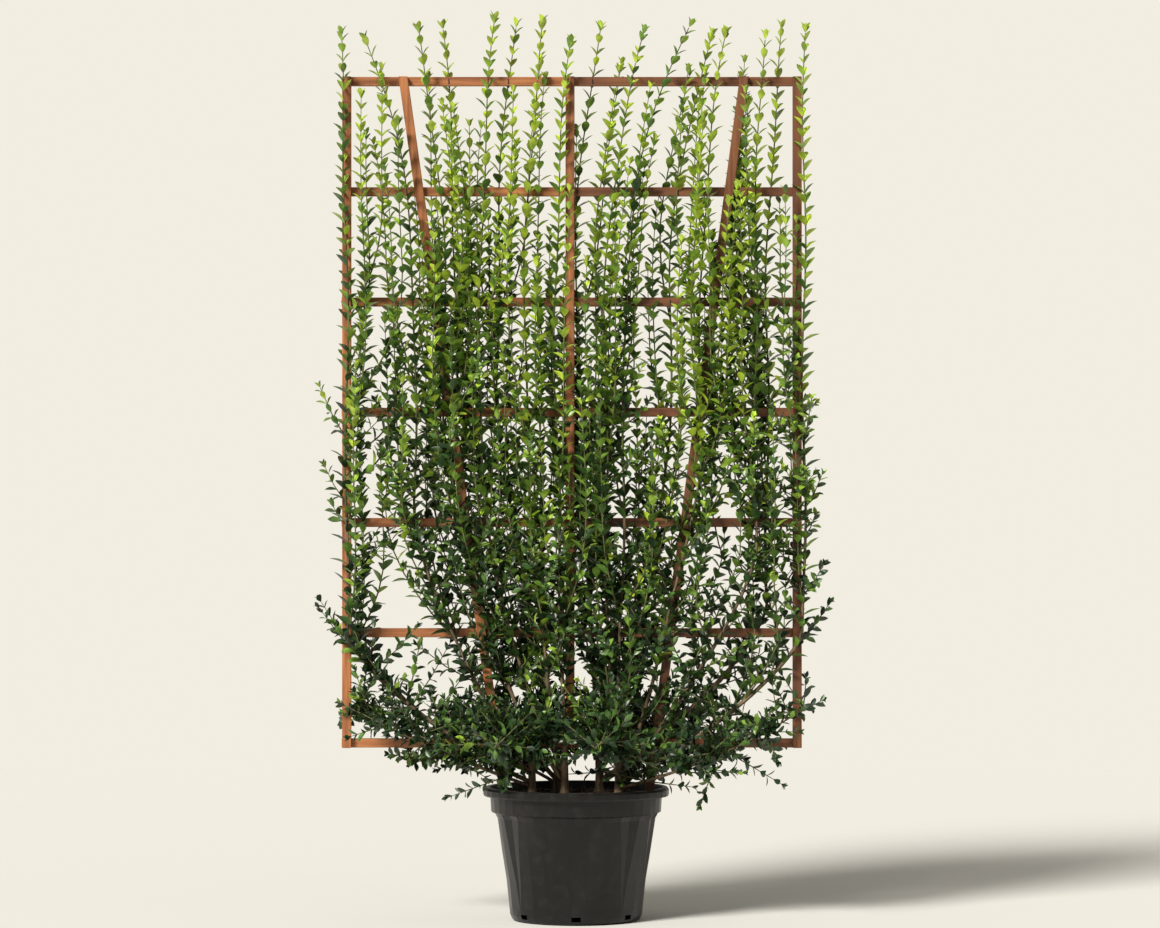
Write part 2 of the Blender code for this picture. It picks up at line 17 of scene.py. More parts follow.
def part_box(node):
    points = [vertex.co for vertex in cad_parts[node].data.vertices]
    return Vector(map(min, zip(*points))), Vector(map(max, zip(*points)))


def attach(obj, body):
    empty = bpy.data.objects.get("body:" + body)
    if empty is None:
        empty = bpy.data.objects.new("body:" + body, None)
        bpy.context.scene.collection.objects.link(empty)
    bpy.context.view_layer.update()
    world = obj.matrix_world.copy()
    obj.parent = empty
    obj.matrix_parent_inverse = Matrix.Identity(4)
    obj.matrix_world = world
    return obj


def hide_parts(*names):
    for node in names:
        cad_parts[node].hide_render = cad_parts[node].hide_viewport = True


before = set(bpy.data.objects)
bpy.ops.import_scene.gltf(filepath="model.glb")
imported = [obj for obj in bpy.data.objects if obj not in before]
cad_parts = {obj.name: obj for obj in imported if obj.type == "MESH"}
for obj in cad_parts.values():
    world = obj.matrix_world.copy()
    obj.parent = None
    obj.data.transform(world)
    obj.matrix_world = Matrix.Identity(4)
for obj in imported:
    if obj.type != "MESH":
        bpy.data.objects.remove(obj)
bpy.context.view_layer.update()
node_names = sorted(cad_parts)
print("frame:", len(node_names), "nodes")

# %% [markdown]
# ## Shader maths
# A procedural finish is a sum on a few patterns. Nodes could be wired one by one, but then the sum is hard to
# read. A small class that wraps a socket and overloads the operators lets the sum be written as Python, and
# one method adds every other node.

# %% Sums on sockets


class Value:
    """The output socket of a node, which can be added and multiplied."""

    def __init__(self, shading, socket):
        self.shading = shading
        self.socket = socket

    def __add__(self, other):
        return self.shading.node("ShaderNodeMath", {"operation": "ADD"}, {0: self, 1: other})

    def __mul__(self, other):
        return self.shading.node("ShaderNodeMath", {"operation": "MULTIPLY"}, {0: self, 1: other})

    __radd__ = __add__
    __rmul__ = __mul__


class Shading:
    """A node tree. A node's settings come first, because they can change which sockets it has."""

    def __init__(self, tree):
        self.tree = tree

    def node(self, kind, settings, sockets, output=0):
        node = self.tree.nodes.new(kind)
        for name, setting in settings.items():
            setattr(node, name, setting)
        for place, item in sockets.items():
            if isinstance(item, Value):
                self.tree.links.new(item.socket, node.inputs[place])
            else:
                node.inputs[place].default_value = item
        return Value(self, node.outputs[output])


print("sums on sockets are ready")

# %% [markdown]
# ## A finish
# Every finish is one Principled shader with a few patterns in front of it: noise on the object's own
# coordinates, a colour mix and a bump. A class with a method for each keeps the finishes below short. The mix
# node has a number, a vector and a colour socket under each name, so its colours are told by their places.

# %% A class for finishes
MIX_SHARE = 0
MIX_LOW = 6
MIX_HIGH = 7
MIX_COLOUR = 2
EVEN = (1.0, 1.0, 1.0)


class Finish(Shading):
    def __init__(self, name, roughness):
        self.material = bpy.data.materials.new(name)
        self.material.use_nodes = True
        super().__init__(self.material.node_tree)
        self.shader = self.tree.nodes["Principled BSDF"]
        self.set("Roughness", roughness)

    def set(self, socket, number):
        self.shader.inputs[socket].default_value = number

    def feed(self, socket, item):
        self.tree.links.new(item.socket, self.shader.inputs[socket])

    def coordinates(self):
        return self.node("ShaderNodeTexCoord", {}, {}, output="Object")

    def noise(self, scale, detail, stretch=EVEN):
        place = self.node("ShaderNodeMapping", {}, {"Vector": self.coordinates(), "Scale": stretch})
        return self.node("ShaderNodeTexNoise", {}, {"Vector": place, "Scale": scale, "Detail": detail})

    def between(self, pattern, low, high):
        """0 where the pattern is at low or under it, 1 where it is at high or over it."""
        ends = {"From Min": low, "From Max": high}
        return self.node("ShaderNodeMapRange", {}, {"Value": pattern, **ends})

    def blend(self, low, high, share):
        low, high = (item if isinstance(item, Value) else (*item, 1.0) for item in (low, high))
        sockets = {MIX_SHARE: share, MIX_LOW: low, MIX_HIGH: high}
        return self.node("ShaderNodeMix", {"data_type": "RGBA"}, sockets, output=MIX_COLOUR)

    def bump(self, height, strength, distance):
        sockets = {"Height": height, "Strength": strength, "Distance": distance}
        self.feed("Normal", self.node("ShaderNodeBump", {}, sockets))


print("a finish has noise, blend and bump")

# %% [markdown]
# ## Container plastic and compost
# The container is black moulded plastic with fine dust and long smears on it. One flat black would look like
# a hole in the picture, so two noises lay a little dust colour on it and make it duller there. The compost is
# dark crumbs and paler bits of bark, one coarse noise for the colour and the relief.

# %% The black plastic and the compost


def pot_finish():
    clean = (0.0035, 0.0034, 0.0033)
    dusty = (0.055, 0.049, 0.041)
    made = Finish("black_pot_plastic", 0.34)
    dust = made.between(made.noise(scale=38.0, detail=5.0), 0.50, 0.78)
    smears = made.between(made.noise(scale=9.0, detail=2.0, stretch=(1.0, 1.0, 0.35)), 0.45, 0.75)
    share = 0.16 * dust + 0.10 * smears
    made.feed("Base Color", made.blend(clean, dusty, share))
    made.feed("Roughness", 0.5 * share + 0.30)
    made.bump(made.noise(scale=420.0, detail=2.0), strength=0.10, distance=0.0004)
    made.set("Specular IOR Level", 0.35)
    return made.material


def soil_finish():
    peat = (0.014, 0.009, 0.006)
    bark_bits = (0.120, 0.066, 0.036)
    made = Finish("potting_compost", 0.95)
    crumbs = made.noise(scale=150.0, detail=5.0)
    made.feed("Base Color", made.blend(peat, bark_bits, made.between(crumbs, 0.35, 0.70)))
    made.bump(crumbs, strength=0.9, distance=0.004)
    return made.material


pot_plastic = pot_finish()
compost = soil_finish()
print("made", pot_plastic.name, "and", compost.name)

# %% [markdown]
# ## Hardwood battens
# The battens look like a reddish hardwood with its grain along their length. Over the right half of the
# trellis a painted shade turns them darker brown, where the leaves shade them; the left half stays orange. A
# wood photograph would repeat on every batten. Noise drawn out along the grain doesn't, and the rails and the
# uprights only need it drawn out in different directions.

# %% The two directions of wood
ALONG_GRAIN = 0.06
# Painted shade: between these two places across, the battens turn darker towards the right half.
PAINTED_SHADE_EDGES = (-0.03, 0.02)


def wood_finish(name, stretch):
    furrow = (0.235, 0.075, 0.024)
    ridge = (0.560, 0.215, 0.072)
    stain = (0.135, 0.038, 0.014)
    # The colour of the painted shade over the right half of the trellis.
    painted_shade = (0.060, 0.020, 0.009)
    made = Finish(name, 0.52)
    grain = made.noise(scale=95.0, detail=6.0, stretch=stretch)
    patches = made.noise(scale=4.5, detail=2.0)
    grained = made.blend(furrow, ridge, made.between(grain, 0.32, 0.68))
    stained = made.blend(grained, stain, 0.55 * made.between(patches, 0.42, 0.72))
    across = made.node("ShaderNodeSeparateXYZ", {}, {"Vector": made.coordinates()}, output="X")
    # Painted shade on the right half of the trellis, where the leaves shade the battens.
    made.feed("Base Color", made.blend(stained, painted_shade, 0.62 * made.between(across, *PAINTED_SHADE_EDGES)))
    made.bump(grain, strength=0.35, distance=0.0007)
    return made.material


rail_wood = wood_finish("hardwood_along_x", (ALONG_GRAIN, 1.0, 1.0))
upright_wood = wood_finish("hardwood_along_z", (1.0, 1.0, ALONG_GRAIN))
print("made", rail_wood.name, "and", upright_wood.name)

# %% [markdown]
# ## Bark
# The old wood is brown with paler streaks, and this year's shoots are green and brown. Both are the same
# streaks, drawn out upwards, in two pairs of colours.

# %% Old bark and green bark


def bark_finish(name, low, high):
    made = Finish(name, 0.78)
    streaks = made.noise(scale=130.0, detail=4.0, stretch=(1.0, 1.0, 0.15))
    made.feed("Base Color", made.blend(low, high, made.between(streaks, 0.35, 0.68)))
    made.bump(streaks, strength=0.6, distance=0.0012)
    return made.material


old_bark = bark_finish("old_bark", (0.060, 0.038, 0.022), (0.230, 0.160, 0.090))
green_bark = bark_finish("green_bark", (0.050, 0.045, 0.018), (0.170, 0.190, 0.060))
print("made", old_bark.name, "and", green_bark.name)

# %% [markdown]
# ## Leaf colours
# Young leaves at the top are yellow-green and old ones low down are deep green. The tints also carry painted
# light: the lighter ones stand for sunlit leaves and the darker ones, down to nearly black, for leaves in
# shade. A photograph of leaves could be mapped on, but plain colours dealt out by spray keep their place on
# any export. Each of the six tints varies a little, from darker to lighter, and has a thin gloss coat as the
# real leaf has.

# %% Six tints of leaf
# Partly the leaves' own colour, from young to old, and partly painted light: lighter tints stand for sunlit
# leaves, darker ones for leaves in shade.
LEAF_TINTS = {
    "leaf_lime": (0.420, 0.560, 0.050),
    "leaf_bright": (0.270, 0.420, 0.045),
    "leaf_fresh": (0.150, 0.270, 0.035),
    "leaf_mid": (0.075, 0.155, 0.028),
    "leaf_deep": (0.034, 0.080, 0.020),
    "leaf_dark": (0.014, 0.036, 0.012),
}
LIGHTER = 1.45
DARKER = 0.62


def leaf_finish(name, colour):
    made = Finish(name, 0.42)
    made.set("Coat Weight", 0.25)
    made.set("Coat Roughness", 0.25)
    low = tuple(DARKER * part for part in colour)
    high = tuple(min(1.0, LIGHTER * part) for part in colour)
    mottle = made.between(made.noise(scale=34.0, detail=2.0), 0.35, 0.65)
    made.feed("Base Color", made.blend(low, high, mottle))
    return made.material


leaf_surfaces = {name: leaf_finish(name, colour) for name, colour in LEAF_TINTS.items()}
print("leaf tints:", len(leaf_surfaces))

# %% [markdown]
# ## Container and trellis
# The container's flutes, lip and drain notches and the battens already have the right shape in the frame.
# They could be modelled again over it, but nothing would be gained, so those nodes stay and only take their
# finish.

# %% Dressing the carried-over nodes


def dress(node, surface):
    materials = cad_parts[node].data.materials
    materials.clear()
    materials.append(surface)


dress("pot", pot_plastic)
for name in node_names:
    if name.startswith("rail_"):
        dress(name, rail_wood)
    if name.startswith(("upright_", "leg_")):
        dress(name, upright_wood)
print("dressed the container and the trellis")

# %% [markdown]
# ## Where the canes run
# Sixteen canes leave five stems. Each swings out to its place across the trellis, rises, and arches to its
# own tip. Sixteen curves could be drawn by hand, but one rule in height gives them all. It is the rule that
# made the limbs of the frame, so the canes here lie where the solid ones lie.

# %% Stems and the places of the canes
SOIL_TOP = 0.325
# Each stem's place across and in depth, and the height of its top.
STEMS = {
    "front_left": (-0.115, -0.046, 0.462),
    "front_middle": (-0.030, -0.050, 0.458),
    "front_right": (0.110, -0.046, 0.478),
    "back_left": (-0.050, 0.052, 0.458),
    "back_right": (0.060, 0.054, 0.466),
}
# Each cane's stem, its place across the trellis, and its tip's place across and height.
CANES = [
    ("front_left", -0.597, -0.616, 2.330),
    ("front_left", -0.420, -0.553, 2.316),
    ("front_left", -0.342, -0.417, 2.342),
    ("back_left", -0.316, -0.352, 2.355),
    ("front_middle", -0.250, -0.206, 2.368),
    ("back_left", -0.206, -0.159, 2.360),
    ("front_middle", -0.133, -0.081, 2.360),
    ("front_middle", -0.055, -0.010, 2.308),
    ("back_right", -0.003, 0.065, 2.352),
    ("front_right", 0.076, 0.188, 2.334),
    ("front_right", 0.128, 0.303, 2.352),
    ("back_right", 0.245, 0.363, 2.334),
    ("front_right", 0.324, 0.397, 2.331),
    ("front_right", 0.467, 0.488, 2.321),
    ("back_right", 0.500, 0.545, 2.355),
    ("front_right", 0.592, 0.595, 2.339),
]
print("stems:", len(STEMS), "canes:", len(CANES))

# %% The forks
FIRST_FORK = 0.360
FORK_STEP = 0.021
CANE_RADIUS = 0.0062


def fork_heights():
    """The canes that swing furthest leave their stem lowest, and the last one leads on from its top."""
    heights = {}
    for name, (x, _, top) in STEMS.items():
        members = [k for k, cane in enumerate(CANES) if cane[0] == name]
        members.sort(key=lambda k: -abs(CANES[k][1] - x))
        for order, k in enumerate(members):
            heights[k] = FIRST_FORK + order * FORK_STEP
        heights[members[-1]] = top - CANE_RADIUS
    return heights


forks = fork_heights()
print("lowest fork:", min(forks.values()), "highest:", round(max(forks.values()), 4))

# %% The rule for a cane
FORK_SPREAD = 0.022
FORK_RISE = 0.030
FAN_HEIGHT = 1.20
FAN_SHORTENING = 1.68
FAN_POWER = 1.4
ARCH_START = 1.55
ARCH_POWER = 2.2
FRONT_DEPTH = -0.034
BACK_DEPTH = 0.040
SETTLE_RISE = 0.15
WANDER = 0.005
WANDER_PITCH = 9.0
WANDER_STEP = 2.4
OUTER_CANE = 0.45
LEAVES_START = 0.640
LEAVES_START_OUTER = 0.720
ENTRY_RADIUS = 0.0048
LEAFY_RADIUS = 0.0042
TIP_RADIUS = 0.0012


def mix(low, high, share):
    return low + (high - low) * share


class Cane:
    def __init__(self, index):
        stem, self.across, self.tip_across, self.tip = CANES[index]
        self.index = index
        self.fork = forks[index]
        self.root, self.root_depth, top = STEMS[stem]
        swing = self.across - self.root
        leads = self.fork > top - 2 * CANE_RADIUS
        self.spread = 0.0 if leads else math.copysign(FORK_SPREAD, swing)
        self.fan = FAN_HEIGHT - FAN_SHORTENING * abs(swing)
        self.depth = FRONT_DEPTH if self.root_depth < 0 else BACK_DEPTH

    def point(self, z):
        rise = z - self.fork
        left = max(0.0, 1.0 - rise / self.fan) ** FAN_POWER
        x = self.across + (self.root + self.spread - self.across) * left
        x -= self.spread * math.exp(-rise / FORK_RISE)
        bend = max(0.0, (z - ARCH_START) / (self.tip - ARCH_START))
        x += (self.tip_across - self.across) * bend**ARCH_POWER
        settle = 1.0 - math.exp(-rise / SETTLE_RISE)
        wave = WANDER * settle * math.sin(WANDER_PITCH * z + WANDER_STEP * self.index)
        y = mix(self.root_depth, self.depth, settle) - math.copysign(abs(wave), -self.depth)
        return Vector((x + wave, y, z))

    def radius(self, z):
        entry = LEAVES_START_OUTER if abs(self.across) > OUTER_CANE else LEAVES_START
        if z < entry:
            return mix(CANE_RADIUS, ENTRY_RADIUS, (z - self.fork) / (entry - self.fork))
        return mix(LEAFY_RADIUS, TIP_RADIUS, (z - entry) / (self.tip - entry))


canes = [Cane(index) for index in range(len(CANES))]
print("highest tip:", max(cane.tip for cane in canes))

# %% [markdown]
# ## Tubes for wood
# Stems, canes and twigs are round and taper. A curve with a bevel would give smooth wire. A tube built ring
# by ring can carry shallow ridges that wind along it, as bark does, and hundreds of twigs stay one mesh.

# %% A mesh of tapering tubes
RIDGES = 3
RIDGE_WIND = 40
RIDGE_BREAK = 90


class Tubes:
    """Gathers tapering tubes into one mesh. Relief is the ridges' height as a share of the radius."""

    def __init__(self, sides, relief=0.0):
        self.sides = sides
        self.relief = relief
        self.points = []
        self.faces = []

    def add(self, path, radii):
        sides = self.sides
        first = len(self.points)
        normal = (path[1] - path[0]).orthogonal().normalized()
        for i, (point, radius) in enumerate(zip(path, radii)):
            tangent = (path[min(i + 1, len(path) - 1)] - path[max(i - 1, 0)]).normalized()
            normal = (normal - tangent * normal.dot(tangent)).normalized()
            across = tangent.cross(normal)
            for k in range(sides):
                angle = 2 * math.pi * k / sides
                winding = math.sin(RIDGES * angle + RIDGE_WIND * point.z)
                ridge = 1.0 + self.relief * winding * math.cos(RIDGE_BREAK * point.z + k)
                outward = normal * math.cos(angle) + across * math.sin(angle)
                self.points.append(point + radius * ridge * outward)
        for i in range(len(path) - 1):
            for k in range(sides):
                a = first + i * sides + k
                b = first + i * sides + (k + 1) % sides
                self.faces.append((a, b, b + sides, a + sides))
        last = first + (len(path) - 1) * sides
        self.faces.append(tuple(first + k for k in reversed(range(sides))))
        self.faces.append(tuple(last + k for k in range(sides)))


wood = Tubes(10, relief=0.10)
green = Tubes(6, relief=0.04)
print("wood has", wood.sides, "sides and green shoots", green.sides)

# %% [markdown]
# ## Stems and canes
# Each stem flares where it meets the soil, and the canes leave it one after another. The wood turns from
# brown to green at about the third rail from below. The canes could be one tube each, but two, the upper one
# starting just inside the lower, let each part have its own bark and number of sides.

# %% Growing the stems and canes
STEM_RISES = [0.0, 0.006, 0.012, 0.022, 0.05, 0.08]
STEM_RADII = [0.020, 0.016, 0.013, 0.011, 0.0102, 0.0095, 0.0076]
STEM_SHORT_OF_TOP = 0.002
ABOVE_FORK = 0.004
WOOD_TOP = 1.05
WOOD_OVERLAP = 0.002
GREEN_BELOW_TIP = 0.03
WOOD_POINTS = 31
GREEN_POINTS = 27


def spread_out(low, high, count):
    """So many numbers from low to high, evenly."""
    return [mix(low, high, k / (count - 1)) for k in range(count)]


for x, y, top in STEMS.values():
    rises = [*STEM_RISES, top - SOIL_TOP - STEM_SHORT_OF_TOP]
    wood.add([Vector((x, y, SOIL_TOP + rise)) for rise in rises], STEM_RADII)
for cane in canes:
    heights = spread_out(cane.fork + ABOVE_FORK, WOOD_TOP, WOOD_POINTS)
    wood.add([cane.point(z) for z in heights], [cane.radius(z) for z in heights])
    heights = spread_out(WOOD_TOP - WOOD_OVERLAP, cane.tip - GREEN_BELOW_TIP, GREEN_POINTS)
    green.add([cane.point(z) for z in heights], [cane.radius(z) for z in heights])
print("faces of wood:", len(wood.faces), "and of green shoots:", len(green.faces))

# %% [markdown]
# ## Where leaves may be
# A real leaf grows round a batten and not through it. Each leaf could be tested against every solid, but
# that is slow and few leaves touch one. So only a leaf's middle and tip are tested, against the boxes of the
# rails and uprights and the container's round top, and its tip against the width of the crown. A leaf that
# fails is left out. The two slanted legs have no box of their own shape, so nothing is tested against them.

# %% The test for a leaf
POT_TOP = 0.352
POT_REACH = 0.250
BATTEN_MARGIN = 0.003
CROWN_MIDDLE = -0.009
CROWN_HALF_WIDTH = 0.690
batten_boxes = [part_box(name) for name in node_names if name.startswith(("rail_", "upright_"))]


def blocked(p):
    if p.z < POT_TOP and math.hypot(p.x, p.y) < POT_REACH:
        return True
    for low, high in batten_boxes:
        if all(low[k] - BATTEN_MARGIN < p[k] < high[k] + BATTEN_MARGIN for k in range(3)):
            return True
    return False


print("battens that leaves keep clear of:", len(batten_boxes))

# %% [markdown]
# ## Leaves on a shoot
# The leaves sit in crossed pairs that point up and out along every shoot, smaller towards its tip, with a
# few small ones on its end. A particle system could scatter them, but it wouldn't pair and cross them, so a
# loop walks along the shoot. Each leaf's tint goes by its height, one draw for the shoot and one of its own.

# %% The tint and the place of one leaf
SHADE_HEIGHT = 0.45
SUN_RISE = 1.75
TINT_SPREAD = 0.42
DARKEST = 4.6
rng = random.Random(5)
leaves = {name: [] for name in LEAF_TINTS}
tints = list(LEAF_TINTS)


# Painted light: leaves higher up, and on shoots drawn as sunnier, get the lighter, sunlit tints; the rest get
# the darker tints of painted shade.
def leaf_tint(z, spray):
    sun = (z - SHADE_HEIGHT) / SUN_RISE + spray + rng.uniform(-TINT_SPREAD, TINT_SPREAD)
    return tints[int(round(DARKEST - DARKEST * min(1.0, max(0.0, sun))))]


def add_leaf(root, along, tangent, length, tint):
    """Its upper face looks along the shoot."""
    tip = root + along * length
    past_crown = abs(tip.x - CROWN_MIDDLE) > CROWN_HALF_WIDTH
    if past_crown or blocked(tip) or blocked(root + along * length * 0.5):
        return
    up = (tangent - along * tangent.dot(along)).normalized()
    leaves[tint].append((*root, *along, *up, length))


print("tints from", tints[0], "to", tints[-1])

# %% A walk along a shoot
SPRAY_SPREAD = 0.16
TWIST = 0.3
TURN_SPREAD = 0.2
LEAN_RANGE = (0.7, 1.25)
LENGTH_RANGE = (0.80, 1.12)
SPACING_RANGE = (0.85, 1.2)
TIP_LEAN_LOSS = 0.45
TIP_LENGTH_LOSS = 0.35
BUD_LEAVES = 3
BUD_TURN = 2.1
BUD_LEAN = 0.35
BUD_SIZE = 0.6


def turned(tangent, turn):
    """A direction square to the shoot."""
    return Matrix.Rotation(turn, 3, tangent) @ tangent.orthogonal().normalized()


def leafy(path, first, spacing, size, angle):
    """Leaves of this size and angle to the shoot, from so far along the path."""
    spray = rng.gauss(0.0, SPRAY_SPREAD)
    turn = rng.uniform(0, math.pi)
    lengths = [(b - a).length for a, b in zip(path, path[1:])]
    total = sum(lengths)
    at = first
    while at < total:
        left = at
        k = 0
        while k < len(lengths) - 1 and left > lengths[k]:
            left -= lengths[k]
            k += 1
        root = path[k].lerp(path[k + 1], min(1.0, left / lengths[k]))
        tangent = (path[k + 1] - path[k]).normalized()
        tip_share = at / total
        for half in (0.0, math.pi):
            outward = turned(tangent, turn + half + rng.uniform(-TWIST, TWIST))
            lean = angle * rng.uniform(*LEAN_RANGE) * (1.0 - TIP_LEAN_LOSS * tip_share**3)
            along = (tangent * math.cos(lean) + outward * math.sin(lean)).normalized()
            length = size * rng.uniform(*LENGTH_RANGE) * (1.0 - TIP_LENGTH_LOSS * tip_share**4)
            add_leaf(root, along, tangent, length, leaf_tint(root.z, spray))
        turn += math.pi / 2 + rng.uniform(-TURN_SPREAD, TURN_SPREAD)
        at += spacing * rng.uniform(*SPACING_RANGE)
    tangent = (path[-1] - path[-2]).normalized()
    for k in range(BUD_LEAVES):
        along = (tangent + turned(tangent, turn + BUD_TURN * k) * BUD_LEAN).normalized()
        add_leaf(path[-1], along, tangent, BUD_SIZE * size, leaf_tint(path[-1].z, spray))


def leaf_count():
    return sum(len(rows) for rows in leaves.values())


print("the leaf rule is ready")

# %% Leaves on the canes
CANE_LEAVES = {"first": 0.010, "spacing": 0.027, "size": 0.049, "angle": 0.86}
BARE_FOOT = 0.62
LEAVES_BELOW_TIP = 0.028
LEAF_POINTS = 41
for cane in canes:
    heights = spread_out(BARE_FOOT, cane.tip - LEAVES_BELOW_TIP, LEAF_POINTS)
    leafy([cane.point(z) for z in heights], **CANE_LEAVES)
print("leaves on the canes:", leaf_count())

# %% [markdown]
# ## Side shoots
# Upright shoots leave a cane low and rise beside it, which makes the fan dense at half its height and open at
# the top. They could be grown in free space, but a shoot that follows its own cane and eases away from it
# stays near the plane of the trellis. On the outer canes they turn inwards.

# %% Growing the side shoots
SIDE_SHOOTS = 13
SIDE_SHOOT_POINTS = 11
SIDE_SHOOT_LEAVES = {"first": 0.030, "spacing": 0.028, "size": 0.043, "angle": 0.86}
SIDE_SHOOT_RADII = (0.0026, 0.0009)
SHOOT_LENGTH = (0.28, 0.85)
BELOW_CANE_TIP = 0.12
SIDEWAYS = (0.018, 0.080)
INWARDS = (0.02, 0.15)
DEEPER = (-0.11, 0.09)
DEEP_UP_TO = 0.95
# The share of that depth for a shoot that starts higher.
HIGH_DEPTH_SHARE = 0.5
EASE_SHARE = 0.5


def low_height(foot, rise, bias):
    """A random height from foot to foot + rise, more often a low one."""
    return foot + rise * rng.random() ** bias


for cane in canes:
    outward = math.copysign(1.0, cane.depth)
    for shoot in range(SIDE_SHOOTS):
        low = low_height(foot=0.52, rise=1.05, bias=1.2)
        high = min(cane.tip - BELOW_CANE_TIP, low + rng.uniform(*SHOOT_LENGTH))
        sideways = rng.uniform(*SIDEWAYS) * (-1) ** (shoot + cane.index)
        if abs(cane.across) > OUTER_CANE:
            sideways = -math.copysign(rng.uniform(*INWARDS), cane.across)
        deeper = outward * rng.uniform(*DEEPER) * (1.0 if low < DEEP_UP_TO else HIGH_DEPTH_SHARE)
        path = []
        for t in spread_out(0.0, 1.0, SIDE_SHOOT_POINTS):
            ease = 1 - (1 - min(1.0, t / EASE_SHARE)) ** 2
            path.append(cane.point(mix(low, high, t)) + Vector((sideways, deeper, 0.0)) * ease)
        green.add(path, spread_out(*SIDE_SHOOT_RADII, SIDE_SHOOT_POINTS))
        leafy(path, **SIDE_SHOOT_LEAVES)
print("leaves with the side shoots:", leaf_count())

# %% [markdown]
# ## Short twigs
# Low on the canes short twigs point up and out all round, and hide most of the wood. Longer ones on the outer
# canes fill the corners of the trellis, where few canes run. Twigs could be spread evenly, but then the top
# would be as dense as the foot. A power on the random height starts most of them low.

# %% Growing the short twigs
SHORT_TWIGS = 26
TWIG_RADII = [0.0022, 0.0016, 0.0009]
SHORT_TWIG_LEAVES = {"first": 0.020, "spacing": 0.021, "size": 0.033, "angle": 0.95}
TWIG_HALF_WIDTH = 0.680
TWIG_HALF_DEPTH = 0.230
TWIG_SHORTEST = 0.07
TWIG_LONGEST = 0.15
CORNER_TWIG_LONGEST = 0.23
TWIG_RISE = (0.3, 1.2)
TWIG_LIFT = Vector((0.0, 0.0, 0.015))
STEPS_TO_END = 1.9
CORNER = 0.3
for cane in canes:
    longest = TWIG_LONGEST if abs(cane.across) < CORNER else CORNER_TWIG_LONGEST
    for twig in range(SHORT_TWIGS):
        start = cane.point(low_height(foot=0.46, rise=0.95, bias=1.6))
        reach = rng.uniform(TWIG_SHORTEST, longest)
        turn = rng.uniform(0, 2 * math.pi)
        heading = Vector((math.cos(turn), math.sin(turn), rng.uniform(*TWIG_RISE))).normalized()
        step = heading * reach / 2
        end = start + step * STEPS_TO_END + TWIG_LIFT
        if abs(end.x - CROWN_MIDDLE) > TWIG_HALF_WIDTH or abs(end.y) > TWIG_HALF_DEPTH:
            continue
        path = [start, start + step, end]
        green.add(path, TWIG_RADII)
        leafy(path, **SHORT_TWIG_LEAVES)
print("leaves with the short twigs:", leaf_count())

# %% [markdown]
# ## Low growth round the foot
# Eight low branches arch out from the stems over the container's edge and to both lower corners. Each is one
# curve from its stem through a bend to its end, as in the frame, with twigs all round it. A twig whose tip
# would be out of the crown, or whose middle or tip would be in a batten or the container, is left out.

# %% Growing the low branches
# Each branch's stem, the height where it leaves it, the point that bends it, and its end.
LOW_MASSES = {
    "low_far_left": ("front_left", 0.350, (-0.36, -0.120, 0.44), (-0.60, -0.05, 0.56)),
    "low_left": ("back_left", 0.350, (-0.25, 0.17, 0.47), (-0.43, 0.10, 0.40)),
    "low_front_left": ("front_left", 0.410, (-0.15, -0.15, 0.50), (-0.21, -0.215, 0.46)),
    "low_front_right": ("front_right", 0.430, (0.08, -0.16, 0.50), (0.05, -0.225, 0.46)),
    "low_far_right": ("front_right", 0.345, (0.36, -0.120, 0.41), (0.59, -0.05, 0.55)),
    "low_right": ("back_right", 0.350, (0.23, 0.17, 0.47), (0.37, 0.10, 0.41)),
    "low_back_left": ("back_left", 0.415, (-0.09, 0.15, 0.50), (-0.17, 0.215, 0.48)),
    "low_back_right": ("back_right", 0.415, (0.10, 0.15, 0.50), (0.15, 0.215, 0.48)),
}
LOW_POINTS = 15
LOW_RADII = (0.0048, 0.0018)
LOW_TWIGS = 5
LOW_TWIG_RADII = [0.0021, 0.0015, 0.0009]
LOW_TWIG_REACH = (0.08, 0.18)
LOW_TWIG_RISE = (-0.3, 1.3)
FIRST_TWIG_POINT = 2
FIRST_LEAF_POINT = 4
LOW_BRANCH_LEAVES = {"first": 0.010, "spacing": 0.022, "size": 0.034, "angle": 0.95}
LOW_TWIG_LEAVES = {"first": 0.015, "spacing": 0.020, "size": 0.032, "angle": 0.95}
TRELLIS_MIDDLE = -0.012
LOW_HALF_WIDTH = 0.655
LOW_HALF_DEPTH = 0.225
shares = spread_out(0.0, 1.0, LOW_POINTS)
for stem, height, bend, end in LOW_MASSES.values():
    x, y, _ = STEMS[stem]
    start, bend, end = Vector((x, y, height)), Vector(bend), Vector(end)
    branch = [start * (1 - t) ** 2 + bend * 2 * t * (1 - t) + end * t * t for t in shares]
    wood.add(branch, [mix(*LOW_RADII, t) for t in shares])
    leafy(branch[FIRST_LEAF_POINT:], **LOW_BRANCH_LEAVES)
    for point in branch[FIRST_TWIG_POINT:]:
        for twig in range(LOW_TWIGS):
            sideways, deeper = rng.uniform(-1, 1), rng.uniform(-1, 1)
            heading = Vector((sideways, deeper, rng.uniform(*LOW_TWIG_RISE))).normalized()
            reach = rng.uniform(*LOW_TWIG_REACH)
            middle = point + heading * reach / 2
            tip = point + heading * reach
            if abs(tip.y) > LOW_HALF_DEPTH or abs(tip.x - TRELLIS_MIDDLE) > LOW_HALF_WIDTH:
                continue
            if blocked(middle) or blocked(tip):
                continue
            green.add([point, middle, tip], LOW_TWIG_RADII)
            leafy([point, middle, tip], **LOW_TWIG_LEAVES)
print("leaves in all:", leaf_count())

# %% [markdown]
# ## One leaf
# The leaf is a narrow oval, widest past its middle, folded along its midrib and curled back at its tip. A
# rectangle with a leaf picture on it would be lighter, but has no outline of its own. Six stations along the
# leaf, each with a left, a middle and a right point, give that outline with ten faces. All the leaves of a
# tint are worked out at once as arrays, because a loop over the leaves' points would be slow.

